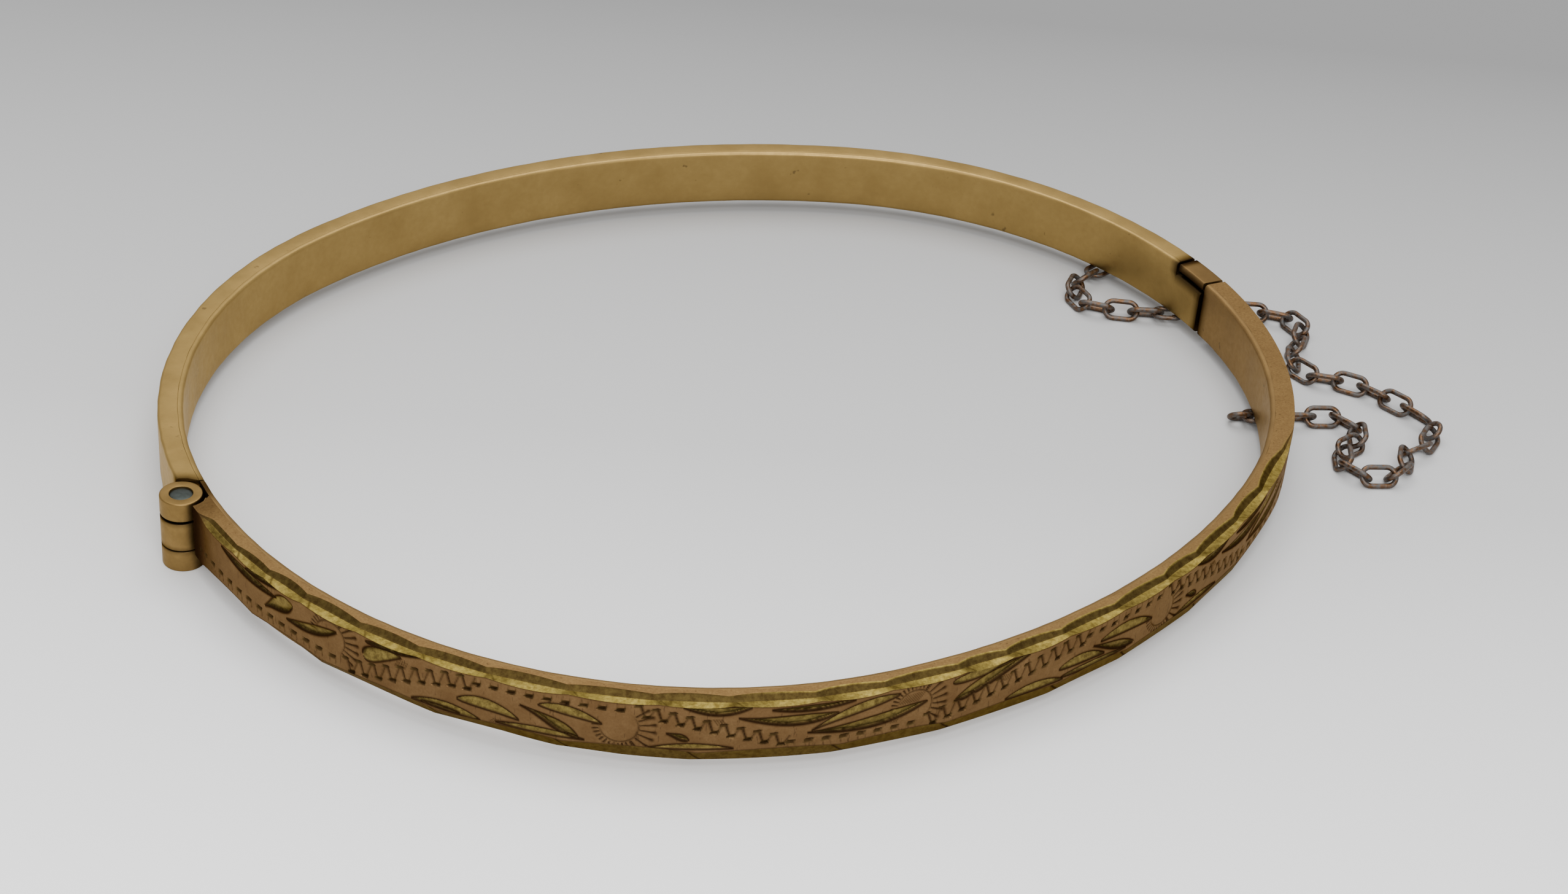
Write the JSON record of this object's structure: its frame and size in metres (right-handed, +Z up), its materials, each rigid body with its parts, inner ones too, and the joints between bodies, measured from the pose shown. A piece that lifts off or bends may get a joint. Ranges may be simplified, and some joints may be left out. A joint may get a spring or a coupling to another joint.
{
  "type": "hinged bangle bracelet",
  "caption": "Oval hinged bangle in gold-coloured metal: two hollow half-hoops, one hand engraved, with a barrel hinge, a tongue clasp with thumb piece and a fine safety chain.",
  "frame": {"origin": "on the surface the bangle lies on, under the middle of the band-and-hinge box", "axes": "+X towards the clasp, -X towards the hinge, -Y towards the engraved half, +Z up"},
  "size_m": [0.0717, 0.0546, 0.0042],
  "materials": {
    "gold": "worn satin gold",
    "engraved_gold": "matte rose gold, bright-cut",
    "chain_metal": "dulled dark metal",
    "pin_steel": "grey, dull"
  },
  "bodies": {
    "back_half": {"back_outer_shell": "gold", "back_inner_lining": "gold", "back_hinge_plug": "gold", "clasp_box_plug": "gold", "hinge_knuckle_bottom": "gold", "hinge_knuckle_top": "gold", "hinge_pin": "pin_steel", "back_chain_eyelet": "chain_metal", "chain_link_01": "chain_metal", "chain_link_02": "chain_metal", "chain_link_03": "chain_metal", "chain_link_04": "chain_metal", "chain_link_05": "chain_metal", "chain_link_06": "chain_metal", "chain_link_07": "chain_metal", "chain_link_08": "chain_metal", "chain_link_09": "chain_metal", "chain_link_10": "chain_metal", "chain_link_11": "chain_metal", "chain_link_12": "chain_metal", "chain_link_13": "chain_metal", "chain_link_14": "chain_metal", "chain_link_15": "chain_metal", "chain_link_16": "chain_metal", "chain_link_17": "chain_metal", "chain_link_18": "chain_metal", "chain_link_19": "chain_metal", "chain_link_20": "chain_metal", "chain_link_21": "chain_metal", "chain_link_22": "chain_metal", "chain_link_23": "chain_metal", "chain_link_24": "chain_metal", "chain_link_25": "chain_metal", "chain_link_26": "chain_metal"},
    "front_half": {"front_outer_shell": "engraved_gold", "front_inner_lining": "gold", "front_hinge_plug": "gold", "front_clasp_plug": "gold", "hinge_knuckle_middle": "gold", "tongue_base_leaf": "gold", "front_chain_eyelet": "chain_metal", "chain_end_ring": "chain_metal", "chain_link_27": "chain_metal", "chain_link_28": "chain_metal", "chain_link_29": "chain_metal", "chain_link_30": "chain_metal", "chain_link_31": "chain_metal", "chain_link_32": "chain_metal", "chain_link_33": "chain_metal", "chain_link_34": "chain_metal", "chain_link_35": "chain_metal", "chain_link_36": "chain_metal", "chain_link_37": "chain_metal", "chain_link_38": "chain_metal", "chain_link_39": "chain_metal"},
    "tongue": {"tongue_spring_leaf": "gold", "thumb_piece": "gold"}
  },
  "joints": [
    {"name": "main_hinge", "type": "hinge", "parent": "back_half", "child": "front_half", "pos_m": [-0.03118, -0.00072, 0.002], "axis": [0, 0, -1], "range_deg": [0, 30]},
    {"name": "tongue_press", "type": "hinge", "parent": "front_half", "child": "tongue", "pos_m": [0.03115, 0.00593, 0.00138], "axis": [1, 0, 0], "range_deg": [0, 3.4], "stiffness_Nm_per_rad": 0.1, "springref_deg": -0.57}
  ]
}
